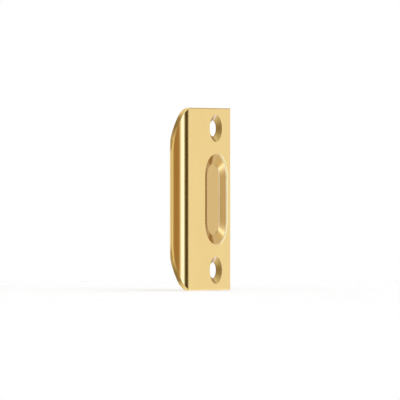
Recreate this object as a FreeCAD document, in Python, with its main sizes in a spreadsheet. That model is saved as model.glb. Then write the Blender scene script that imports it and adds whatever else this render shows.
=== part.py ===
import FreeCAD, Part
import Sketcher
import math
import os

# Door strike plate with a rolled lip, pressed from one sheet of brass.
# X runs across the plate with the lip on its negative side, Y runs back into the jamb and Z runs up.
# The origin is midway between the two screw holes, on the plane of the back face.

# Driving dimensions in millimetres and degrees
sizes = {
    "plate_height": 57.15,
    "sheet_gauge": 1.3,
    "edge_side_reach": 10.4,
    "lip_side_reach": 18.7,
    "lip_bend_radius": 17.0,
    "lip_turn_angle": 28.0,
    "lip_corner_fall": 15.0,
    "lip_shoulder_radius": 6.5,
    "lip_shoulder_inset": 0.9,
    "screw_pitch": 44.45,
    "screw_hole_dia": 5.0,
    "countersink_dia": 8.6,
    "countersink_angle": 120.0,
    "countersink_rim_round": 0.3,
    "recess_width": 15.0,
    "recess_length": 28.6,
    "recess_depth": 1.0,
    "recess_wall_slope": 17.0,
    "recess_rim_radius": 2.0,
    "recess_floor_radius": 1.5,
    "front_edge_round": 0.4,
    "back_edge_round": 0.2,
}

doc = FreeCAD.newDocument("strike_plate_model")
sheet = doc.addObject("Spreadsheet::Sheet", "sheet")
for row, (alias, value) in enumerate(sizes.items(), start=1):
    sheet.set("A%d" % row, alias)
    sheet.set("B%d" % row, str(value))
    sheet.setAlias("B%d" % row, alias)
doc.recompute()

gauge = sizes["sheet_gauge"]
edge_reach = sizes["edge_side_reach"]
lip_reach = sizes["lip_side_reach"]
bend_radius = sizes["lip_bend_radius"]
lip_turn = math.radians(sizes["lip_turn_angle"])
half_height = 0.5 * sizes["plate_height"]
recess_depth = sizes["recess_depth"]
half_turn = math.pi
quarter_turn = 0.5 * math.pi
sketch_normal = FreeCAD.Vector(0, 0, 1)

body = doc.addObject("PartDesign::Body", "strike_plate")
body.Label = "strike_plate"
body.Placement = FreeCAD.Placement()
planes = {feature.Role: feature for feature in body.Origin.OriginFeatures}


def point(across, up):
    return FreeCAD.Vector(across, up, 0)


def line(start, end):
    return Part.LineSegment(start, end)


def arc(centre, radius, start, end):
    return Part.ArcOfCircle(Part.Circle(centre, sketch_normal, radius), start, end)


def new_sketch(name, plane):
    sketch = body.newObject("Sketcher::SketchObject", name)
    sketch.AttachmentSupport = [(planes[plane], "")]
    sketch.MapMode = "FlatFace"
    return sketch


# A named dimension of a sketch, driven by a formula on the sheet
def drive(sketch, name, formula, kind, *where):
    number = sketch.addConstraint(Sketcher.Constraint(kind, *where))
    sketch.renameConstraint(number, name)
    sketch.setExpression("Constraints." + name, formula)


# Bent section of the sheet, seen from above: flat plate, rolled lip and square ends
section = new_sketch("bent_section", "XY_Plane")
bend_centre = point(-lip_reach, bend_radius - gauge)
flat_bearing = 3 * quarter_turn
tip_bearing = flat_bearing - lip_turn
tip_direction = point(math.cos(tip_bearing), math.sin(tip_bearing))
front_tip = bend_centre + tip_direction * bend_radius
back_tip = bend_centre + tip_direction * (bend_radius - gauge)
front = section.addGeometry(line(point(edge_reach, -gauge), point(-lip_reach, -gauge)))
bend_front = section.addGeometry(arc(bend_centre, bend_radius, tip_bearing, flat_bearing))
tip = section.addGeometry(line(front_tip, back_tip))
bend_back = section.addGeometry(arc(bend_centre, bend_radius - gauge, tip_bearing, flat_bearing))
back = section.addGeometry(line(point(-lip_reach, 0), point(edge_reach, 0)))
side = section.addGeometry(line(point(edge_reach, 0), point(edge_reach, -gauge)))
section.addConstraint([
    Sketcher.Constraint("Tangent", front, 2, bend_front, 2),
    Sketcher.Constraint("Coincident", bend_front, 1, tip, 1),
    Sketcher.Constraint("Coincident", tip, 2, bend_back, 1),
    Sketcher.Constraint("Tangent", bend_back, 2, back, 1),
    Sketcher.Constraint("Coincident", back, 2, side, 1),
    Sketcher.Constraint("Coincident", side, 2, front, 1),
    Sketcher.Constraint("Horizontal", front),
    Sketcher.Constraint("Horizontal", back),
    Sketcher.Constraint("Vertical", side),
    Sketcher.Constraint("Coincident", bend_front, 3, bend_back, 3),
    Sketcher.Constraint("PointOnObject", bend_front, 3, tip),
    Sketcher.Constraint("PointOnObject", back, 1, -1),
])
drive(section, "gauge", "sheet.sheet_gauge", "DistanceY", side, 2, side, 1, gauge)
drive(section, "edge_reach", "sheet.edge_side_reach", "DistanceX", -1, 1, side, 1, edge_reach)
drive(section, "lip_reach", "sheet.lip_side_reach", "DistanceX", back, 1, -1, 1, lip_reach)
drive(section, "bend_radius", "sheet.lip_bend_radius", "Radius", bend_front, bend_radius)
drive(section, "tip_slope", "90 - sheet.lip_turn_angle", "Angle", -1, 1, tip, 1, quarter_turn - lip_turn)

blank = body.newObject("PartDesign::Pad", "bent_blank")
blank.Profile = section
blank.SideType = "Symmetric"
blank.setExpression("Length", "sheet.plate_height")
doc.recompute()

# Waste outside the upper corner of the lip, seen from the front: a large arc leaves the lip's edge
# and a smaller one, the shoulder, brings it round into the top edge just past the line of the bend
corner = new_sketch("lip_corner", "XZ_Plane")
corner_fall = sizes["lip_corner_fall"]
shoulder_radius = sizes["lip_shoulder_radius"]
lip_edge = -lip_reach - bend_radius * math.sin(lip_turn)
shoulder_end = -lip_reach + sizes["lip_shoulder_inset"]
corner_foot = half_height - corner_fall
shoulder_rise = corner_fall - shoulder_radius
shoulder_run = shoulder_end - lip_edge - shoulder_radius
corner_radius = shoulder_radius + (shoulder_run ** 2 + shoulder_rise ** 2) / (2 * shoulder_run)
corner_centre = point(lip_edge + corner_radius, corner_foot)
shoulder_centre = point(shoulder_end, half_height - shoulder_radius)
meeting = math.atan2(shoulder_rise, shoulder_centre.x - corner_centre.x)
margin = 3 * gauge
waste_level = half_height + margin
waste_edge = lip_edge - margin
curve = corner.addGeometry(arc(corner_centre, corner_radius, meeting, half_turn))
shoulder = corner.addGeometry(arc(shoulder_centre, shoulder_radius, quarter_turn, meeting))
waste_inner = corner.addGeometry(line(point(shoulder_end, half_height), point(shoulder_end, waste_level)))
waste_top = corner.addGeometry(line(point(shoulder_end, waste_level), point(waste_edge, waste_level)))
waste_outer = corner.addGeometry(line(point(waste_edge, waste_level), point(waste_edge, corner_foot)))
waste_foot = corner.addGeometry(line(point(waste_edge, corner_foot), point(lip_edge, corner_foot)))
corner.addConstraint([
    Sketcher.Constraint("Tangent", curve, 1, shoulder, 2),
    Sketcher.Constraint("Coincident", shoulder, 1, waste_inner, 1),
    Sketcher.Constraint("Coincident", waste_inner, 2, waste_top, 1),
    Sketcher.Constraint("Coincident", waste_top, 2, waste_outer, 1),
    Sketcher.Constraint("Coincident", waste_outer, 2, waste_foot, 1),
    Sketcher.Constraint("Coincident", waste_foot, 2, curve, 2),
    Sketcher.Constraint("Vertical", waste_inner),
    Sketcher.Constraint("Horizontal", waste_top),
    Sketcher.Constraint("Vertical", waste_outer),
    Sketcher.Constraint("Horizontal", waste_foot),
    Sketcher.Constraint("PointOnObject", curve, 3, waste_foot),
    Sketcher.Constraint("PointOnObject", shoulder, 3, waste_inner),
    Sketcher.Constraint("Equal", waste_inner, waste_foot),
])
lip_edge_formula = "sheet.lip_side_reach + sheet.lip_bend_radius * sin(sheet.lip_turn_angle)"
drive(corner, "shoulder_end", "sheet.lip_side_reach - sheet.lip_shoulder_inset",
      "DistanceX", shoulder, 1, -1, 1, -shoulder_end)
drive(corner, "shoulder_radius", "sheet.lip_shoulder_radius", "Radius", shoulder, shoulder_radius)
drive(corner, "top_edge", "sheet.plate_height / 2", "DistanceY", -1, 1, shoulder, 1, half_height)
drive(corner, "corner_fall", "sheet.lip_corner_fall", "DistanceY", curve, 2, shoulder, 1, corner_fall)
drive(corner, "lip_edge", lip_edge_formula, "DistanceX", curve, 2, -1, 1, -lip_edge)
drive(corner, "margin", "3 * sheet.sheet_gauge", "DistanceY", waste_inner, 1, waste_inner, 2, margin)

upper_corner = body.newObject("PartDesign::Pocket", "upper_lip_corner")
upper_corner.Profile = corner
upper_corner.SideType = "Symmetric"
upper_corner.setExpression("Length", "2 * sheet.lip_bend_radius")
doc.recompute()

both_corners = body.newObject("PartDesign::Mirrored", "both_lip_corners")
both_corners.Originals = [upper_corner]
both_corners.MirrorPlane = (planes["XY_Plane"], [""])
body.Tip = both_corners
doc.recompute()


# Round-ended outline on the screw line, lifted off the back plane towards the front
def round_ended(name, width, length, width_formula, length_formula, lift_formula):
    sketch = new_sketch(name, "XZ_Plane")
    sketch.setExpression("AttachmentOffset.Base.z", lift_formula)
    half_width = 0.5 * width
    centre_rise = 0.5 * (length - width)
    upper = sketch.addGeometry(arc(point(0, centre_rise), half_width, 0, half_turn))
    lower = sketch.addGeometry(arc(point(0, -centre_rise), half_width, half_turn, 2 * half_turn))
    left = sketch.addGeometry(line(point(-half_width, centre_rise), point(-half_width, -centre_rise)))
    right = sketch.addGeometry(line(point(half_width, -centre_rise), point(half_width, centre_rise)))
    sketch.addConstraint([
        Sketcher.Constraint("Tangent", upper, 2, left, 1),
        Sketcher.Constraint("Tangent", left, 2, lower, 1),
        Sketcher.Constraint("Tangent", lower, 2, right, 1),
        Sketcher.Constraint("Tangent", right, 2, upper, 1),
        Sketcher.Constraint("Symmetric", upper, 3, lower, 3, -1, 1),
        Sketcher.Constraint("PointOnObject", upper, 3, -2),
        Sketcher.Constraint("Equal", upper, lower),
    ])
    centres_formula = "(%s) - (%s)" % (length_formula, width_formula)
    drive(sketch, "end_radius", "(%s) / 2" % width_formula, "Radius", upper, half_width)
    drive(sketch, "centres", centres_formula, "DistanceY", lower, 3, upper, 3, 2 * centre_rise)
    doc.recompute()
    return sketch


# Boss that the recess pushes out of the back, one sheet gauge outside the recess all round
recess_width = sizes["recess_width"]
recess_length = sizes["recess_length"]
spread = 2 * gauge * math.tan(0.5 * math.radians(sizes["recess_wall_slope"]))
spread_formula = " + 2 * sheet.sheet_gauge * tan(sheet.recess_wall_slope / 2)"
boss_outline = round_ended(
    "boss_outline",
    recess_width + spread,
    recess_length + spread,
    "sheet.recess_width" + spread_formula,
    "sheet.recess_length" + spread_formula,
    "0",
)
boss = body.newObject("PartDesign::Pad", "back_boss")
boss.Profile = boss_outline
boss.Reversed = True
boss.setExpression("Length", "sheet.recess_depth")
boss.setExpression("TaperAngle", "sheet.recess_wall_slope - 90")
doc.recompute()

# Pressed recess in the front face, with sloping walls
recess_outline = round_ended(
    "recess_outline",
    recess_width,
    recess_length,
    "sheet.recess_width",
    "sheet.recess_length",
    "sheet.sheet_gauge",
)
recess = body.newObject("PartDesign::Pocket", "front_recess")
recess.Profile = recess_outline
recess.setExpression("Length", "sheet.recess_depth")
recess.setExpression("TaperAngle", "sheet.recess_wall_slope - 90")
doc.recompute()

# Tests that find the edges to be rounded from where they lie
close_enough = 0.001
edge_samples = (0.03, 0.5, 0.97)


def near(value, target):
    return abs(value - target) < close_enough


def within_recess(spot):
    inside_width = abs(spot.x) < 0.5 * recess_width + gauge
    inside_length = abs(spot.z) < 0.5 * recess_length + gauge
    return inside_width and inside_length


def on_skin(spot, level, radius):
    if spot.x > -lip_reach:
        return near(spot.y, level)
    return near(math.hypot(spot.x - bend_centre.x, spot.y - bend_centre.y), radius)


def on_outline(spot):
    return not within_recess(spot) and not near(spot.x, -lip_reach)


def on_front_outline(spot):
    return on_outline(spot) and on_skin(spot, -gauge, bend_radius)


def on_back_outline(spot):
    return on_outline(spot) and on_skin(spot, 0, bend_radius - gauge)


def on_countersink_rim(spot):
    from_axis = math.hypot(spot.x, abs(spot.z) - 0.5 * sizes["screw_pitch"])
    return near(spot.y, -gauge) and near(from_axis, 0.5 * sizes["countersink_dia"])


def on_recess_level(level):
    return lambda spot: within_recess(spot) and near(spot.y, level)


# Fillet on every edge of a feature whose sample points all pass a test
def round_edges(name, feature, test, radius_formula):
    names = []
    for number, edge in enumerate(feature.Shape.Edges, start=1):
        first, last = edge.ParameterRange
        spots = [edge.valueAt(first + share * (last - first)) for share in edge_samples]
        if all(test(spot) for spot in spots):
            names.append("Edge%d" % number)
    fillet = body.newObject("PartDesign::Fillet", name)
    fillet.Base = (feature, names)
    fillet.setExpression("Radius", radius_formula)
    doc.recompute()
    return fillet


# The sheet keeps its gauge through each bend of the pressing, so front and back radii differ by it
rim = round_edges("recess_rim", recess, on_recess_level(-gauge), "sheet.recess_rim_radius")
floor = round_edges("recess_floor", rim, on_recess_level(recess_depth - gauge), "sheet.recess_floor_radius")
root = round_edges("boss_root", floor, on_recess_level(0), "sheet.recess_rim_radius - sheet.sheet_gauge")
crest = round_edges("boss_crest", root, on_recess_level(recess_depth),
                    "sheet.recess_floor_radius + sheet.sheet_gauge")

# Front edges well rounded by polishing, back edges left crisper
front_edges = round_edges("front_edges", crest, on_front_outline, "sheet.front_edge_round")
back_edges = round_edges("back_edges", front_edges, on_back_outline, "sheet.back_edge_round")

# Two screw holes, countersunk from the front down to a narrow straight land
screw_centres = new_sketch("screw_centres", "XZ_Plane")
screw_centres.setExpression("AttachmentOffset.Base.z", "sheet.sheet_gauge")
hole_radius = 0.5 * sizes["screw_hole_dia"]
half_pitch = 0.5 * sizes["screw_pitch"]
upper_hole = screw_centres.addGeometry(Part.Circle(point(0, half_pitch), sketch_normal, hole_radius))
lower_hole = screw_centres.addGeometry(Part.Circle(point(0, -half_pitch), sketch_normal, hole_radius))
screw_centres.addConstraint([
    Sketcher.Constraint("PointOnObject", upper_hole, 3, -2),
    Sketcher.Constraint("Symmetric", upper_hole, 3, lower_hole, 3, -1, 1),
    Sketcher.Constraint("Equal", upper_hole, lower_hole),
])
drive(screw_centres, "pitch", "sheet.screw_pitch", "DistanceY", lower_hole, 3, upper_hole, 3, 2 * half_pitch)
drive(screw_centres, "hole", "sheet.screw_hole_dia", "Diameter", upper_hole, 2 * hole_radius)

holes = body.newObject("PartDesign::Hole", "screw_holes")
holes.Profile = screw_centres
doc.recompute()
holes.DepthType = "ThroughAll"
holes.HoleCutType = "Countersink"
holes.HoleCutCustomValues = True
holes.setExpression("Diameter", "sheet.screw_hole_dia")
holes.setExpression("HoleCutDiameter", "sheet.countersink_dia")
holes.setExpression("HoleCutCountersinkAngle", "sheet.countersink_angle")
doc.recompute()
hole_rims = round_edges("countersink_rims", holes, on_countersink_rim, "sheet.countersink_rim_round")
body.Tip = hole_rims
doc.recompute()

# Every feature has to hold, and every cut has to take metal away
for item in doc.Objects:
    if "Invalid" in item.State or "Error" in item.State:
        raise RuntimeError(item.Name + " did not recompute")
for before, after in ((blank, upper_corner), (upper_corner, both_corners), (boss, recess), (back_edges, holes)):
    if after.Shape.Volume >= before.Shape.Volume:
        raise RuntimeError(after.Name + " cut nothing")
if body.Shape.isNull() or not body.Shape.isValid():
    raise RuntimeError(body.Label + " has no valid shape")

os.makedirs("parts", exist_ok=True)
body.Shape.exportStep("parts/" + body.Label + ".step")
print(body.Label, "volume", round(body.Shape.Volume, 1), "cubic millimetres")
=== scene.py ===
import math
import bpy
import numpy as np
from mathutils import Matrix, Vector


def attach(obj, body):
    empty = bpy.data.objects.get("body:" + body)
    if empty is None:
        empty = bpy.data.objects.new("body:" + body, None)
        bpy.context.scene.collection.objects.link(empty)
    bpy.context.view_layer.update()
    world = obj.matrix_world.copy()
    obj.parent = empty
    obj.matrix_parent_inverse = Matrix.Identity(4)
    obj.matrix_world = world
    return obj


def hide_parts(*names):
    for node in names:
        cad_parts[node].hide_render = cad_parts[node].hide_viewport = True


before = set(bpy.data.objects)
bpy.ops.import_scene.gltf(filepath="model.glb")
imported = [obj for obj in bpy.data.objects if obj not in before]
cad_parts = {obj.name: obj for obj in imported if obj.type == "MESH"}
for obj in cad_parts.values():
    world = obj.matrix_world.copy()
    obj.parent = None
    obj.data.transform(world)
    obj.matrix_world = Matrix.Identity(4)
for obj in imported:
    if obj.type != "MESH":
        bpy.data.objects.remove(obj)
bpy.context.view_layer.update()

scene = bpy.context.scene
scene.view_settings.view_transform = "Standard"
mm = 0.001
print("frame loaded:", ", ".join(sorted(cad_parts)))

# camera: long lens, level, well round to the lip side of the face
photoCamera = {
    "azimuth": -63.6,      # degrees round from straight ahead, lip side negative
    "lens": 1000.0,
    "sensor": 36.0,
    "frameWidth": 125.4,   # mm across the picture at the plate
    "aim": (-1.698, 3.422, -0.22),
    "clip": (0.1, 20.0),   # metres
}


# stands back from the aim along (sin, -cos) of the azimuth, by frame width * lens / sensor
def makeCamera(size):
    turn = math.radians(size["azimuth"])
    back = Vector((math.sin(turn), -math.cos(turn), 0.0))
    distance = size["frameWidth"] * size["lens"] / size["sensor"] * mm
    data = bpy.data.cameras.new("photoCamera")
    data.lens = size["lens"]
    data.sensor_width = size["sensor"]
    data.clip_start, data.clip_end = size["clip"]
    camera = bpy.data.objects.new("photoCamera", data)
    camera.location = Vector(size["aim"]) * mm + back * distance
    camera.rotation_mode = "QUATERNION"
    camera.rotation_quaternion = (-back).to_track_quat("-Z", "Y")
    scene.collection.objects.link(camera)
    scene.camera = camera


makeCamera(photoCamera)
print("camera set")

# strike plate: all sizes in mm, X across with the lip negative, Y back into the jamb, Z up
plate = {
    "height": 57.15,
    "gauge": 1.3,
    "edgeReach": 10.4,     # from the line of the screws to the straight edge
    "lipReach": 18.7,      # and to the line where the lip starts to bend
    "bendRadius": 17.0,    # on the front of the lip
    "lipTurn": 28.0,       # degrees that the lip turns back
    "cornerFall": 15.0,    # height of each rounded corner
    "shoulderRadius": 6.5,
    "shoulderInset": 0.9,  # how far before the bend the shoulder starts
    "frontRound": 0.41,    # rounds along the cut edges
    "backRound": 0.2,
    "squareLimit": 0.75,   # outward share below which an edge point is a square corner
    "cornerShare": 0.86,   # how much of the dull cut metal and its painted shade shows on the lip corners
    "sideStart": 0.19,     # upright share of the outline where it sets in along a corner,
    "sideRamp": 4.5,       # how quickly,
    "topEnd": 0.85,        # where it ends before the top edge,
    "topRamp": 3.0,        # and how quickly
    "frontRamp": 7.0,      # how quickly it sets in over the front round
    "backRamp": 2.0,       # and ends over the back round
}
screwHole = {
    "pitch": 44.45,
    "hole": 5.0,
    "countersink": 8.6,
    "angle": 120.0,
    "rimRound": 0.3,
    "crispRound": 0.05,
    "roundSteps": (6, 3, 4),
    "frontFlat": 4.75,     # radii at which the flat face takes over
    "backFlat": 3.3,
    "landBand": 0.02,      # what counts as the land, out from the hole
    "backBand": 0.01,      # what counts as the back face, in from it
    "sideShare": 0.97,     # how much of the dull cut metal and its painted shade shows at the sides of the cone,
    "endShare": 0.40,      # above and below, where less of it leaves a painted highlight,
    "landShare": 0.95,     # and on the narrow land
    "rubbed": 0.55,        # how strong the painted highlight on the rim is
}
recess = {
    "width": 15.0,
    "length": 28.6,
    "depth": 1.0,
    "wallSlope": 17.0,
    "rimRadius": 2.0,
    "floorRadius": 1.5,
    "roundSteps": (10, 8),
    "flat": 8.6,           # reach at which the flat face takes over
    "rubbed": (1.6, 1.2),  # how strong the painted highlight on the rim and the edge of the floor is, wider above 1
    "farRamp": 1.6,        # how quickly the painted highlight on the rim sets in towards the far side
    "burnished": 2.0,      # how bright the painted highlight on the flat beside that rim is, wider above 1
    "stripStart": 0.3,     # sideways share of the rays where that strip sets in,
    "stripRamp": 2.0,      # and how quickly
    "floorShare": 0.70,    # how much of the end walls' painted shade the floor shows
    "sideEase": 0.20,      # and how much less of it the side walls show
}
meshing = {
    "blockLeft": -9.8,     # left side of the blocks round the holes and the recess
    "blockSplit": 16.3,    # level between a hole block and the recess block
    "across": 40,          # steps along the sides of the blocks
    "holeUp": 24,
    "recessEnd": 12,
    "recessSide": 24,
    "flatLip": 8,          # steps towards the lip, before and on the bend
    "bentLip": 40,
    "shoulder": 10,        # steps round the outline of the lip
    "corner": 22,
    "lipEdge": 32,
    "blend": 3,            # steps from a hole or the recess out to its block
    "edgeSteps": 7,        # steps over each round of the cut edges
    "cornerFan": 0.12,     # spread of the points beside a square corner
    "weldSteps": 20000.0,  # points in the same step of a mm are one point
    "weldShift": 0.137,    # keeps even sizes off the limits of the steps
}

gauge = plate["gauge"]
halfHeight = plate["height"] / 2
bendLine = -plate["lipReach"]
lipTurn = math.radians(plate["lipTurn"])
shoulderEnd = bendLine + plate["shoulderInset"]
lipEdge = bendLine - plate["bendRadius"] * math.sin(lipTurn)
endRise = (recess["length"] - recess["width"]) / 2
halfway = math.sqrt(0.5)
maskNames = ("hollow", "sheared", "rubbed", "burnished")
front = {
    "level": -gauge, "bend": plate["bendRadius"],
    "round": plate["frontRound"], "facing": -1.0,
}
back = {
    "level": 0.0, "bend": plate["bendRadius"] - gauge,
    "round": plate["backRound"], "facing": 1.0,
}


# each vector over its own length
def unit(vectors):
    return vectors / np.linalg.norm(vectors, axis=-1, keepdims=True)


# tilt of the bent sheet: asin(run past the bend line / bend radius)
def sheetTilt(x, bend):
    return np.arcsin(np.maximum(bendLine - x, 0) / bend)


# spot on one side of the sheet: level + bend radius * (1 - cos(tilt))
def onSheet(side, flat):
    x, z = flat[..., 0], flat[..., 1]
    y = side["level"] + side["bend"] * (1 - np.cos(sheetTilt(x, side["bend"])))
    return np.stack([x, y, z], -1)


# facing of the sheet: straight out on the flat, turned by the tilt on the lip
def sheetFacing(side, flat):
    tilt = sheetTilt(flat[..., 0], side["bend"])
    return side["facing"] * np.stack([np.sin(tilt), np.cos(tilt), 0 * tilt], -1)


# each corner of a line becomes an arc that touches both sides: touching point + (left - facing) * radius;
# the facing turns from the left of one side to the left of the next
def roundedProfile(corners, radii, steps):
    corners = np.array(corners, float)
    along = unit(np.diff(corners, axis=0))
    left = np.stack([-along[:, 1], along[:, 0]], 1)
    spots, facing = [corners[:1]], [left[:1]]
    for i, (radius, count) in enumerate(zip(radii, steps)):
        before, after = along[i], along[i + 1]
        turn = math.atan2(before[0] * after[1] - before[1] * after[0], before @ after)
        swing = np.linspace(0, turn, count + 1)
        normal = np.stack([
            np.cos(swing) * left[i, 0] - np.sin(swing) * left[i, 1],
            np.sin(swing) * left[i, 0] + np.cos(swing) * left[i, 1],
        ], 1)
        touch = corners[i + 1] - before * radius * math.tan(abs(turn) / 2)
        reach = math.copysign(radius, turn)
        spots.append(touch + (left[i] - normal) * reach)
        facing.append(normal)
    spots.append(corners[-1:])
    facing.append(left[-1:])
    return np.concatenate(spots), np.concatenate(facing)


# profile of radius and depth carried round: medial point + radius * ray, depth along Y
def carryRound(profile, medial, rays):
    (radius, depth), (outward, deep) = profile[0].T[..., None], profile[1].T[..., None]
    flat = medial + radius[..., None] * rays
    depth, deep = depth + 0 * rays[:, 0], deep + 0 * rays[:, 0]
    spots = np.stack([flat[..., 0], depth, flat[..., 1]], -1)
    facing = np.stack([outward * rays[:, 0], deep, outward * rays[:, 1]], -1)
    return spots, facing


# quads of a grid of rows by columns, closed round the columns where asked
def gridQuads(rows, columns, closed):
    index = np.arange(rows * columns).reshape(rows, columns)
    if closed:
        index = np.concatenate([index, index[:, :1]], 1)
    corners = [index[:-1, :-1], index[:-1, 1:], index[1:, 1:], index[1:, :-1]]
    return np.stack(corners, -1).reshape(-1, 4)


patches = []


# keeps one grid of points with its facings, quads and masks; a mask that isn't given is nought
def addPatch(spots, facing, closed=False, **masks):
    rows, columns = spots.shape[:2]
    patch = {
        "spots": spots.reshape(-1, 3),
        "facing": facing.reshape(-1, 3),
        "quads": gridQuads(rows, columns, closed),
    }
    for name in maskNames:
        patch[name] = np.broadcast_to(masks.get(name, 0.0), (rows, columns)).ravel()
    patches.append(patch)


# grid of flat points laid on one side of the sheet
def addSheet(side, flat, closed=False):
    addPatch(onSheet(side, flat), sheetFacing(side, flat), closed)


# points round a rectangle, up its right side first
def rectangleRim(xs, zs):
    right = np.stack([xs[-1] + 0 * zs, zs], 1)[:-1]
    top = np.stack([xs[::-1], zs[-1] + 0 * xs], 1)[:-1]
    left = np.stack([xs[0] + 0 * zs, zs[::-1]], 1)[:-1]
    bottom = np.stack([xs, zs[0] + 0 * xs], 1)[:-1]
    return np.concatenate([right, top, left, bottom])


# straight blend from one row of points to another
def blendRows(start, end, count):
    share = np.linspace(0, 1, count + 1)[:, None, None]
    return start + (end - start) * share


# even steps along the sides of the blocks on one side of the sheet
def blockSides(side):
    right = plate["edgeReach"] - side["round"]
    top = halfHeight - side["round"]
    split = meshing["blockSplit"]
    xs = np.linspace(meshing["blockLeft"], right, meshing["across"] + 1)
    holeZs = np.linspace(split, top, meshing["holeUp"] + 1)
    endZs = np.linspace(endRise, split, meshing["recessEnd"] + 1)
    sideZs = np.linspace(-endRise, endRise, meshing["recessSide"] + 1)
    recessZs = np.concatenate([-endZs[::-1], sideZs[1:-1], endZs])
    return xs, holeZs, recessZs


# rays from a medial line to the points of a rim: unit(rim point - nearest point of the line)
def raysTo(rim, middle, span):
    medial = np.stack([0 * rim[:, 0], middle + np.clip(rim[:, 1] - middle, -span, span)], 1)
    return medial, unit(rim - medial)


# share of painted highlight over one round of a profile: peak * sin(half a turn along that round)
def rubbedShare(profile, roundSteps, which, peak):
    steps = roundSteps[which]
    start = 1 + sum(roundSteps[:which]) + which  # row where that round begins
    share = np.zeros((len(profile[0]), 1))
    share[start:start + steps + 1, 0] = peak * np.sin(np.linspace(0, math.pi, steps + 1))
    return share


frontXs, frontHoleZs, frontRecessZs = blockSides(front)
backXs, backHoleZs, backRecessZs = blockSides(back)

# screw holes: rim, cone and narrow land, carried round a circle from the front face to the back
holeRadius = screwHole["hole"] / 2
sinkRadius = screwHole["countersink"] / 2
sinkDepth = (sinkRadius - holeRadius) / math.tan(math.radians(screwHole["angle"] / 2))
holeProfile = roundedProfile(
    [
        (screwHole["frontFlat"], -gauge),
        (sinkRadius, -gauge),
        (holeRadius, sinkDepth - gauge),
        (holeRadius, 0.0),
        (screwHole["backFlat"], 0.0),
    ],
    [screwHole["rimRound"], screwHole["crispRound"], screwHole["crispRound"]],
    screwHole["roundSteps"],
)
outFrom, level = holeProfile[0].T[..., None]
onLand = outFrom < holeRadius + screwHole["landBand"]
onCut = (outFrom < sinkRadius) * (level < -screwHole["backBand"])
sideGain = screwHole["sideShare"] - screwHole["endShare"]
# painted highlight round the rim of each hole
rubbed = rubbedShare(holeProfile, screwHole["roundSteps"], 0, screwHole["rubbed"])
for up in (1, -1):
    centre = up * screwHole["pitch"] / 2
    frontRim = rectangleRim(frontXs, np.sort(up * frontHoleZs))
    backRim = rectangleRim(backXs, np.sort(up * backHoleZs))
    medial, rays = raysTo(frontRim, centre, 0.0)
    # painted shade on the sides of each cone and on the land, less above and below, which leaves a
    # painted highlight there
    coneShare = screwHole["endShare"] + sideGain * rays[:, 0] ** 2
    cutShare = np.where(onLand, screwHole["landShare"], coneShare) * onCut
    addPatch(*carryRound(holeProfile, medial, rays), closed=True, sheared=cutShare, rubbed=rubbed)
    frontStart = medial + screwHole["frontFlat"] * rays
    backStart = medial + screwHole["backFlat"] * rays
    addSheet(front, blendRows(frontStart, frontRim, meshing["blend"]), True)
    addSheet(back, blendRows(backStart, backRim, meshing["blend"]), True)
print("screw holes shaped")

# recess in the front and the boss it makes on the back: rim, sloping wall and floor,
# carried round the middle line
slope = math.radians(recess["wallSlope"])
rimAt = recess["width"] / 2
floorAt = rimAt - recess["depth"] / math.tan(slope)
spread = gauge * math.tan(slope / 2)
recessProfile = roundedProfile(
    [
        (recess["flat"], -gauge),
        (rimAt, -gauge),
        (floorAt, recess["depth"] - gauge),
        (0.0, recess["depth"] - gauge),
    ],
    [recess["rimRadius"], recess["floorRadius"]],
    recess["roundSteps"],
)
bossProfile = roundedProfile(
    [
        (0.0, recess["depth"]),
        (floorAt + spread, recess["depth"]),
        (rimAt + spread, 0.0),
        (recess["flat"], 0.0),
    ],
    [recess["floorRadius"] + gauge, recess["rimRadius"] - gauge],
    recess["roundSteps"],
)
frontRim = rectangleRim(frontXs, frontRecessZs)
backRim = rectangleRim(backXs, backRecessZs)
medial, rays = raysTo(frontRim, 0.0, endRise)
# painted shade in the recess: full on the end walls, less on the side walls, floorShare of it on the
# floor
sunk = recessProfile[0][:, 1:] + gauge
rimFall = recess["rimRadius"] * (1 - math.cos(slope))
floorRise = recess["floorRadius"] * (1 - math.cos(slope))
onFloor = np.clip((sunk - recess["depth"] + floorRise) / floorRise, 0, 1)
wallShare = 1 - recess["sideEase"] * rays[:, 0] ** 2
hollow = np.clip(sunk / rimFall, 0, 1) * (wallShare + (recess["floorShare"] - wallShare) * onFloor)
farSide = np.clip(recess["farRamp"] * rays[:, 0], 0, 1)  # painted highlight on the rim, on the far side only
bothSides = rays[:, 0] ** 2                              # painted highlight on the floor's edge along its sides, not its ends
rimRubbed, floorRubbed = (
    rubbedShare(recessProfile, recess["roundSteps"], which, recess["rubbed"][which]) for which in (0, 1)
)
rubbed = rimRubbed * farSide + floorRubbed * bothSides
# painted highlight in a strip on the flat beside the far rim
alongStrip = np.clip(recess["stripRamp"] * (rays[:, 0] - recess["stripStart"]), 0, 1)
burnished = np.zeros_like(rubbed)
burnished[1] = recess["burnished"] * alongStrip  # the row where the rim's round begins
addPatch(
    *carryRound(recessProfile, medial, rays), closed=True,
    hollow=hollow, rubbed=rubbed, burnished=burnished,
)
addPatch(*carryRound(bossProfile, medial, rays), closed=True)
start = medial + recess["flat"] * rays
addSheet(front, blendRows(start, frontRim, meshing["blend"]), True)
addSheet(back, blendRows(start, backRim, meshing["blend"]), True)
print("recess shaped")


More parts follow.
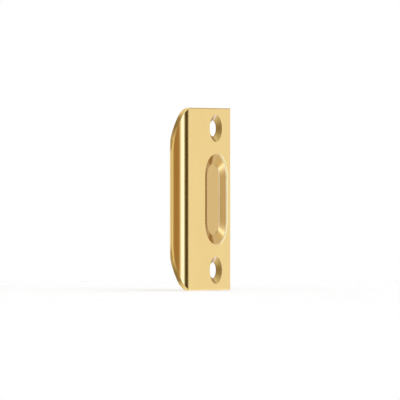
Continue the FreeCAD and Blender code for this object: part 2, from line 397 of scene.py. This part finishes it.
# lip outline from the top edge round to the bottom edge: shoulder arc and larger corner arc that touch,
# each centre + radius * (cos, sin), then the straight edge and the mirror of both arcs
def lipOutline():
    shoulder = plate["shoulderRadius"]
    rise = plate["cornerFall"] - shoulder
    run = shoulderEnd - lipEdge - shoulder
    radius = shoulder + (run ** 2 + rise ** 2) / (2 * run)
    foot = halfHeight - plate["cornerFall"]
    meeting = math.atan2(rise, shoulderEnd - lipEdge - radius)
    first = np.linspace(math.pi / 2, meeting, meshing["shoulder"] + 1)
    second = np.linspace(meeting, math.pi, meshing["corner"] + 1)[1:]
    firstOut = np.stack([np.cos(first), np.sin(first)], 1)
    secondOut = np.stack([np.cos(second), np.sin(second)], 1)
    upper = np.concatenate([
        np.array([shoulderEnd, halfHeight - shoulder]) + shoulder * firstOut,
        np.array([lipEdge + radius, foot]) + radius * secondOut,
    ])
    upperOut = np.concatenate([firstOut, secondOut])
    levels = np.linspace(foot, -foot, meshing["lipEdge"] + 1)[1:-1]
    straight = np.stack([lipEdge + 0 * levels, levels], 1)
    straightOut = np.stack([-1 + 0 * levels, 0 * levels], 1)
    mirror = np.array([1, -1])
    outline = np.concatenate([upper, straight, upper[::-1] * mirror])
    outward = np.concatenate([upperOut, straightOut, upperOut[::-1] * mirror])
    return outline, outward


lipLine, lipOut = lipOutline()
backLipLine = lipLine.copy()
backLipLine[:, 0] = np.maximum(lipLine[:, 0], bendLine - back["bend"] * math.sin(lipTurn))


# facing of the cut wall: across the way along the outline and the way through the sheet
def wallFacing(outline, outward, through):
    slopeThere = -np.tan(sheetTilt(outline[:, 0], front["bend"]))
    along = np.stack([-outward[:, 1], -outward[:, 1] * slopeThere, outward[:, 0]], 1)
    return -unit(np.cross(along, through))


# distance from a sharp edge to where its round begins: round * tan(half the angle between the facings)
def roundReach(roundSize, oneFacing, otherFacing):
    half = np.arccos(np.clip((oneFacing * otherFacing).sum(-1), -1, 1)) / 2
    return roundSize * np.tan(half), np.cos(half)


# outline moved in along the sheet, worked out on the unrolled lip
def insetLip(side, outline, outward, reach):
    tilt = sheetTilt(outline[:, 0], side["bend"])
    inward = -unit(np.stack([outward[:, 0], outward[:, 1] / np.cos(tilt)], 1))
    unrolled = np.maximum(outline[:, 0], bendLine) - side["bend"] * tilt + inward[:, 0] * reach
    arc = np.maximum(bendLine - unrolled, 0) / side["bend"]
    x = np.maximum(unrolled, bendLine) - side["bend"] * np.sin(arc)
    return np.stack([x, outline[:, 1] + inward[:, 1] * reach], 1)


lipThrough = unit(onSheet(back, backLipLine) - onSheet(front, lipLine))
lipWall = wallFacing(lipLine, lipOut, lipThrough)


# rim of one side of the sheet: right edge up, top edge, lip from the top down, bottom edge
def sheetRim(side, outline, xs, holeZs, recessZs):
    reach = roundReach(side["round"], sheetFacing(side, outline), lipWall)[0]
    inset = insetLip(side, outline, lipOut, reach)
    rightZs = np.concatenate([-holeZs[::-1], recessZs[1:-1], holeZs])
    flatXs = np.linspace(meshing["blockLeft"], shoulderEnd, meshing["flatLip"] + 1)
    leftRim = np.stack([meshing["blockLeft"] + 0 * rightZs, rightZs[::-1]], 1)
    bendRim = np.stack([shoulderEnd + 0 * rightZs, inset[:, 1]], 1)
    addSheet(side, blendRows(leftRim, bendRim, meshing["flatLip"]))
    addSheet(side, blendRows(bendRim, inset, meshing["bentLip"]))

    topXs = np.concatenate([xs[::-1], flatXs[1:-1]])
    fan = meshing["cornerFan"]
    edge, top = plate["edgeReach"], halfHeight
    insetRight = np.stack([xs[-1] + 0 * rightZs, rightZs], 1)
    sharpRight = np.stack([edge + 0 * rightZs, rightZs], 1)
    sharpRight[[0, -1], 1] = fan - top, top - fan
    insetTop = np.stack([topXs, holeZs[-1] + 0 * topXs], 1)
    sharpTop = np.stack([topXs, top + 0 * topXs], 1)
    sharpTop[0, 0] = edge - fan
    mirror = np.array([1, -1])
    inset = np.concatenate([
        insetRight, insetRight[-1:], insetTop, inset, insetTop[::-1] * mirror, insetRight[:1],
    ])
    sharp = np.concatenate([
        sharpRight, [[edge, top]], sharpTop, outline, sharpTop[::-1] * mirror, [[edge, -top]],
    ])
    outward = np.concatenate([
        sharpRight * 0 + [1, 0], [[halfway, halfway]], sharpTop * 0 + [0, 1],
        lipOut, sharpTop * 0 + [0, -1], [[halfway, -halfway]],
    ])
    return inset, sharp, outward


frontInset, frontSharp, outward = sheetRim(front, lipLine, frontXs, frontHoleZs, frontRecessZs)
backInset, backSharp, _ = sheetRim(back, backLipLine, backXs, backHoleZs, backRecessZs)
print("lip shaped")


# arc from one face to the other under a sharp edge: a weighted quadratic, its facing turning with it
def roundOver(start, sharp, end, startFacing, endFacing, weight):
    t = np.linspace(0, 1, meshing["edgeSteps"] + 1)[:, None, None]
    weight = weight[:, None]
    first, middle, last = (1 - t) ** 2, 2 * weight * t * (1 - t), t ** 2
    spots = (first * start + middle * sharp + last * end) / (first + middle + last)
    share = t * (1 - t) / weight
    return spots, unit((first + share) * startFacing + (last + share) * endFacing)


# edge of the sheet: front round, cut wall and back round, carried along the whole outline
frontEdge, backEdge = onSheet(front, frontSharp), onSheet(back, backSharp)
through = unit(backEdge - frontEdge)
wall = wallFacing(frontSharp, outward, through)
frontReach, frontWeight = roundReach(front["round"], sheetFacing(front, frontSharp), wall)
backReach, backWeight = roundReach(back["round"], sheetFacing(back, backSharp), wall)
isSquare = (np.abs(outward).max(1) < plate["squareLimit"]) & (frontSharp[:, 0] > 0)
frontReach[isSquare], backReach[isSquare] = front["round"], back["round"]
frontWeight[isSquare], backWeight[isSquare] = halfway, halfway
frontArc = roundOver(
    onSheet(front, frontInset), frontEdge, frontEdge + through * frontReach[:, None],
    sheetFacing(front, frontInset), wall, frontWeight,
)
backArc = roundOver(
    backEdge - through * backReach[:, None], backEdge, onSheet(back, backInset),
    wall, sheetFacing(back, backInset), backWeight,
)
edgeSpots = np.concatenate([frontArc[0], backArc[0]])
edgeFacing = np.concatenate([frontArc[1], backArc[1]])

# dull cut metal with painted shade on the rounded corners of the lip: over the front round, the wall and
# part of the back
upright = np.abs(outward[:, 1])
pastSide = np.clip(plate["sideRamp"] * (upright - plate["sideStart"]), 0, 1)
beforeTop = np.clip(plate["topRamp"] * (plate["topEnd"] - upright), 0, 1)
onCorner = plate["cornerShare"] * pastSide * beforeTop * (frontSharp[:, 0] < shoulderEnd)
alongRound = np.linspace(0, 1, meshing["edgeSteps"] + 1)
throughShare = np.concatenate([
    np.clip(plate["frontRamp"] * alongRound, 0, 1),
    np.clip(plate["backRamp"] * (1 - alongRound), 0, 1),
])
addPatch(edgeSpots, edgeFacing, True, sheared=throughShare[:, None] * onCorner)
print("edges shaped")


# one closed mesh: doubles merged, collapsed quads made triangles, every face turned to its facing
def weldPatches(name):
    counts = np.cumsum([0] + [len(patch["spots"]) for patch in patches])
    kinds = ("spots", "facing") + maskNames
    joined = {kind: np.concatenate([patch[kind] for patch in patches]) for kind in kinds}
    quads = np.concatenate([patch["quads"] + start for patch, start in zip(patches, counts)])
    steps = np.round(joined["spots"] * meshing["weldSteps"] + meshing["weldShift"])
    _, kept, place = np.unique(steps, axis=0, return_index=True, return_inverse=True)
    place = place.ravel()
    spots = joined["spots"][kept]
    facing = np.zeros_like(spots)
    np.add.at(facing, place, joined["facing"])
    facing = unit(facing)
    faces = place[quads]
    oneWay = spots[faces[:, 2]] - spots[faces[:, 0]]
    otherWay = spots[faces[:, 3]] - spots[faces[:, 1]]
    across = np.cross(oneWay, otherWay)
    inward = (across * facing[faces].sum(1)).sum(1) < 0
    faces[inward] = faces[inward][:, ::-1]
    shut = faces == np.roll(faces, -1, 1)
    whole = faces[~shut.any(1)]
    sides = np.arange(4)
    shutOnce = shut.sum(1) == 1
    triangles = np.concatenate([faces[shutOnce & shut[:, side]][:, sides != side] for side in sides])
    mesh = bpy.data.meshes.new(name)
    mesh.from_pydata((spots * mm).tolist(), [], whole.tolist() + triangles.tolist())
    for kind in maskNames:
        share = np.zeros(len(spots), np.float32)
        np.maximum.at(share, place, joined[kind].astype(np.float32))
        mesh.attributes.new(kind, "FLOAT", "POINT").data.foreach_set("value", share)
    mesh.shade_smooth()
    mesh.normals_split_custom_set_from_vertices(facing.tolist())
    return mesh


plateMesh = weldPatches("strikePlate")
platePiece = bpy.data.objects.new("strikePlate", plateMesh)
scene.collection.objects.link(platePiece)
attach(platePiece, "root")
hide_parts("strike_plate")
print("strike plate welded:", len(plateMesh.vertices), "points,", len(plateMesh.polygons), "faces")


# node helper: makes a node, sets its plain values and links its inputs
def addNode(tree, kind, values=None, links=None, **settings):
    node = tree.nodes.new(kind)
    for key, value in settings.items():
        setattr(node, key, value)
    for key, value in (values or {}).items():
        node.inputs[key].default_value = value
    for key, source in (links or {}).items():
        tree.links.new(source, node.inputs[key])
    return node


# polished brass: lacquered yellow metal with faint clouds and fine polishing lines along the plate,
# painted shade in the pressed recess, dull cut metal with painted shade, and painted highlights on the
# rims and beside the recess
brass = {
    "colour": (0.872, 0.628, 0.219, 1.0),
    "deepColour": (0.81, 0.555, 0.172, 1.0),
    "cloudScale": 70.0,
    "cloudDetail": 4.0,
    "cloudRange": (0.35, 0.75),  # of the noise, from no deep colour
    "cloudShare": 0.35,          # to this much of it
    "lineScale": 5200.0,
    "lineDetail": 3.0,
    "lineStretch": (1.0, 1.0, 0.02),
    "lineRange": (0.3, 0.7),     # of the noise, over the range of roughness
    "roughness": (0.10, 0.13),
    "lineDepth": 0.0000007,      # metres
    "lineStrength": 0.3,
    "layers": {                  # laid over the metal one after another, each by its own mask
        # painted shade in the recess and on cut metal; painted highlights on the rims and on a strip
        # beside the recess
        "hollow": {"colour": (0.600, 0.372, 0.115, 1.0), "roughness": 0.13},
        "sheared": {"colour": (0.30, 0.18, 0.045, 1.0), "roughness": 0.26},
        "rubbed": {"colour": (1.0, 0.84, 0.46, 1.0), "roughness": 0.35},
        "burnished": {"colour": (1.0, 0.84, 0.44, 1.0), "roughness": 0.10},
    },
    "lacquer": (0.35, 0.06),     # on polished faces, and in the recess and on cut metal
    "lacquerRoughness": 0.04,
}


# noise gives clouds and stretched lines; layers mix in by their masks, painting shade and highlights;
# lacquer thins by the larger of the masks for the recess and for cut metal
def makeBrass(finish):
    material = bpy.data.materials.new("polishedBrass")
    material.use_nodes = True
    tree = material.node_tree
    tree.nodes.clear()
    place = addNode(tree, "ShaderNodeTexCoord").outputs["Object"]
    cloud = addNode(
        tree, "ShaderNodeTexNoise",
        {"Scale": finish["cloudScale"], "Detail": finish["cloudDetail"]}, {"Vector": place},
    )
    stretched = addNode(tree, "ShaderNodeMapping", {"Scale": finish["lineStretch"]}, {"Vector": place})
    lines = addNode(
        tree, "ShaderNodeTexNoise",
        {"Scale": finish["lineScale"], "Detail": finish["lineDetail"]},
        {"Vector": stretched.outputs["Vector"]},
    )
    cloudFrom, cloudTo = finish["cloudRange"]
    cloudShare = addNode(
        tree, "ShaderNodeMapRange",
        {"From Min": cloudFrom, "From Max": cloudTo, "To Max": finish["cloudShare"]},
        {"Value": cloud.outputs["Fac"]},
    )
    colour = addNode(
        tree, "ShaderNodeMix", {"A": finish["colour"], "B": finish["deepColour"]},
        {"Factor": cloudShare.outputs["Result"]}, data_type="RGBA",
    )
    lineFrom, lineTo = finish["lineRange"]
    smooth, rough = finish["roughness"]
    gloss = addNode(
        tree, "ShaderNodeMapRange",
        {"From Min": lineFrom, "From Max": lineTo, "To Min": smooth, "To Max": rough},
        {"Value": lines.outputs["Fac"]},
    )
    masks = {}
    for name, layer in finish["layers"].items():
        masks[name] = addNode(tree, "ShaderNodeAttribute", attribute_name=name).outputs["Fac"]
        colour = addNode(
            tree, "ShaderNodeMix", {"B": layer["colour"]},
            {"Factor": masks[name], "A": colour.outputs["Result"]}, data_type="RGBA",
        )
        gloss = addNode(
            tree, "ShaderNodeMix", {"B": layer["roughness"]},
            {"Factor": masks[name], "A": gloss.outputs["Result"]}, data_type="FLOAT",
        )
    bare = addNode(
        tree, "ShaderNodeMath", links={0: masks["hollow"], 1: masks["sheared"]}, operation="MAXIMUM",
    )
    thick, thin = finish["lacquer"]
    lacquer = addNode(
        tree, "ShaderNodeMapRange", {"To Min": thick, "To Max": thin}, {"Value": bare.outputs[0]},
    )
    scratch = addNode(
        tree, "ShaderNodeBump", {"Strength": finish["lineStrength"], "Distance": finish["lineDepth"]},
        {"Height": lines.outputs["Fac"]},
    )
    surface = addNode(
        tree, "ShaderNodeBsdfPrincipled",
        {"Metallic": 1.0, "Coat Roughness": finish["lacquerRoughness"]},
        {
            "Base Color": colour.outputs["Result"],
            "Roughness": gloss.outputs["Result"],
            "Coat Weight": lacquer.outputs["Result"],
            "Normal": scratch.outputs["Normal"],
        },
    )
    addNode(tree, "ShaderNodeOutputMaterial", links={"Surface": surface.outputs["BSDF"]})
    return material


plateMesh.materials.append(makeBrass(brass))
print("brass finish made")

# studio cards that only the brass mirrors, each with its start, end and softness in degrees:
# round from straight ahead, lip side positive, and level up from the horizon
studioCards = {
    "darkCard": {          # dark band beside the bend
        "round": (-58.8, -44.5, 5.0), "level": (-11.0, 11.0, 5.0),
        "colour": (0.07, 0.05, 0.012, 1.0),
    },
    "keyStrip": {          # bright band along the lip
        "round": (-42.3, -32.9, 3.5), "level": (-9.5, 9.5, 4.0),
        "colour": (1.32, 1.62, 2.85, 1.0),
    },
    "upperKey": {          # highlights in the corners of the recess
        "round": (-39.5, -34.5, 4.0), "level": (8.0, 18.0, 3.0),
        "colour": (2.1, 2.5, 3.6, 1.0),
    },
    "lowerKey": {
        "round": (-39.5, -34.5, 4.0), "level": (-18.0, -8.0, 3.0),
        "colour": (2.1, 2.5, 3.6, 1.0),
    },
    "warmCard": {          # brown band near the tip of the lip
        "round": (-29.0, -9.5, 3.6), "level": (-14.0, 14.0, 5.0),
        "colour": (0.40, 0.26, 0.135, 1.0),
    },
    "topShade": {          # top edge
        "round": (-112.0, -71.0, 8.0), "level": (13.0, 34.0, 6.0),
        "colour": (0.54, 0.45, 0.26, 1.0),
    },
    "lowerGlow": {         # bottom edge
        "round": (-90.0, -66.0, 8.0), "level": (-32.0, -19.0, 5.0),
        "colour": (1.3, 1.4, 2.4, 1.0),
    },
    "sideCard": {          # near wall of the recess
        "round": (-122.0, -74.5, 6.0), "level": (-14.0, 14.0, 8.0),
        "colour": (0.43, 0.285, 0.085, 1.0),
    },
    "lipShade": {          # soft tones for the other sides
        "round": (18.0, 60.0, 18.0), "level": (-50.0, 50.0, 30.0),
        "colour": (0.72, 0.64, 0.52, 1.0),
    },
    "rearShade": {
        "round": (118.0, 168.0, 22.0), "level": (-50.0, 50.0, 30.0),
        "colour": (0.50, 0.42, 0.32, 1.0),
    },
    "edgeShade": {
        "round": (-156.0, -124.0, 20.0), "level": (-50.0, 50.0, 30.0),
        "colour": (0.62, 0.55, 0.45, 1.0),
    },
}
cardReach = ("Start", "End", "Soft", "Low", "High", "Fade")
white = (1.0, 1.0, 1.0, 1.0)


# mathematics node between two links
def reckon(tree, operation, first, second, **settings):
    node = addNode(tree, "ShaderNodeMath", links={0: first, 1: second}, operation=operation, **settings)
    return node.outputs[0]


# value * factor
def scaled(tree, value, factor):
    return addNode(tree, "ShaderNodeMath", {1: factor}, {0: value}, operation="MULTIPLY").outputs[0]


# mask of one card: (past its start - past its end) * (above its foot - above its top)
def makeCardGroup():
    group = bpy.data.node_groups.new("studioCard", "ShaderNodeTree")
    for name in ("Round", "Height") + cardReach:
        group.interface.new_socket(name, in_out="INPUT", socket_type="NodeSocketFloat")
    group.interface.new_socket("Mask", in_out="OUTPUT", socket_type="NodeSocketFloat")
    inputs = addNode(group, "NodeGroupInput").outputs

    # smooth step from half the width before the edge to half the width after it
    def rising(value, edge, width):
        half = scaled(group, inputs[width], 0.5)
        low = reckon(group, "SUBTRACT", inputs[edge], half)
        high = reckon(group, "ADD", inputs[edge], half)
        return addNode(
            group, "ShaderNodeMapRange",
            links={"Value": inputs[value], "From Min": low, "From Max": high},
            interpolation_type="SMOOTHSTEP",
        ).outputs["Result"]

    between = reckon(group, "SUBTRACT", rising("Round", "Start", "Soft"), rising("Round", "End", "Soft"))
    within = reckon(group, "SUBTRACT", rising("Height", "Low", "Fade"), rising("Height", "High", "Fade"))
    mask = reckon(group, "MULTIPLY", between, within, use_clamp=True)
    addNode(group, "NodeGroupOutput", links={"Mask": mask})
    return group


# white light from all round, with the cards mixed in for mirror rays; round is the arctangent of (-x, -y)
# and height the arcsine of z, both in degrees
def makeStudio(cards):
    world = bpy.data.worlds.new("whiteStudio")
    world.use_nodes = True
    world.cycles.sampling_method = "NONE"  # mirror rays find the cards by themselves
    scene.world = world
    tree = world.node_tree
    tree.nodes.clear()
    toDegrees = 180 / math.pi
    way = addNode(tree, "ShaderNodeTexCoord").outputs["Generated"]
    parts = addNode(tree, "ShaderNodeSeparateXYZ", links={"Vector": way}).outputs
    turn = reckon(tree, "ARCTAN2", scaled(tree, parts["X"], -1.0), scaled(tree, parts["Y"], -1.0))
    roundDegrees = scaled(tree, turn, toDegrees)
    rise = addNode(tree, "ShaderNodeMath", links={0: parts["Z"]}, operation="ARCSINE").outputs[0]
    height = scaled(tree, rise, toDegrees)
    group = makeCardGroup()
    shown = None
    for name, card in cards.items():
        reach = dict(zip(cardReach, card["round"] + card["level"]))
        mask = addNode(
            tree, "ShaderNodeGroup", reach, {"Round": roundDegrees, "Height": height},
            node_tree=group, name=name,
        )
        mix = addNode(
            tree, "ShaderNodeMix", {"A": white, "B": card["colour"]},
            {"Factor": mask.outputs["Mask"]}, data_type="RGBA",
        )
        if shown:
            tree.links.new(shown, mix.inputs["A"])
        shown = mix.outputs["Result"]
    mirrored = addNode(tree, "ShaderNodeLightPath").outputs["Is Glossy Ray"]
    seen = addNode(
        tree, "ShaderNodeMix", {"A": white}, {"Factor": mirrored, "B": shown}, data_type="RGBA",
    )
    light = addNode(tree, "ShaderNodeBackground", {"Strength": 1.0}, {"Color": seen.outputs["Result"]})
    addNode(tree, "ShaderNodeOutputWorld", links={"Surface": light.outputs["Background"]})


makeStudio(studioCards)
print("studio set")

# floor: a white paper disc under the lower edge
paperFloor = {
    "radius": 400.0,
    "level": -28.6,
    "rings": 12,
    "innerRing": 0.02,     # where the rings start, before they are spread by squaring
    "round": 96,
    "colour": (1.0, 1.0, 1.0, 1.0),
    "roughness": 0.9,
}


# disc: radius * (cos, sin) of the way round, rings closer together near the middle
def makeFloor(size):
    rings = size["radius"] * np.linspace(size["innerRing"], 1, size["rings"]) ** 2
    turn = np.linspace(0, 2 * math.pi, size["round"], endpoint=False)
    flat = rings[:, None, None] * np.stack([np.cos(turn), np.sin(turn)], 1)
    levels = np.full(flat.shape[:2] + (1,), size["level"])
    spots = np.concatenate([flat, levels], -1).reshape(-1, 3)
    quads = gridQuads(size["rings"], size["round"], True)[:, ::-1]
    middle = np.arange(size["round"])
    mesh = bpy.data.meshes.new("paperFloor")
    mesh.from_pydata((spots * mm).tolist(), [], quads.tolist() + [middle.tolist()])
    floor = bpy.data.objects.new("paperFloor", mesh)
    scene.collection.objects.link(floor)
    floor.visible_glossy = False  # the brass mirrors the studio alone
    material = bpy.data.materials.new("whitePaper")
    material.use_nodes = True
    tree = material.node_tree
    tree.nodes.clear()
    paper = addNode(
        tree, "ShaderNodeBsdfDiffuse", {"Color": size["colour"], "Roughness": size["roughness"]},
    )
    addNode(tree, "ShaderNodeOutputMaterial", links={"Surface": paper.outputs["BSDF"]})
    mesh.materials.append(material)


makeFloor(paperFloor)
print("floor laid")
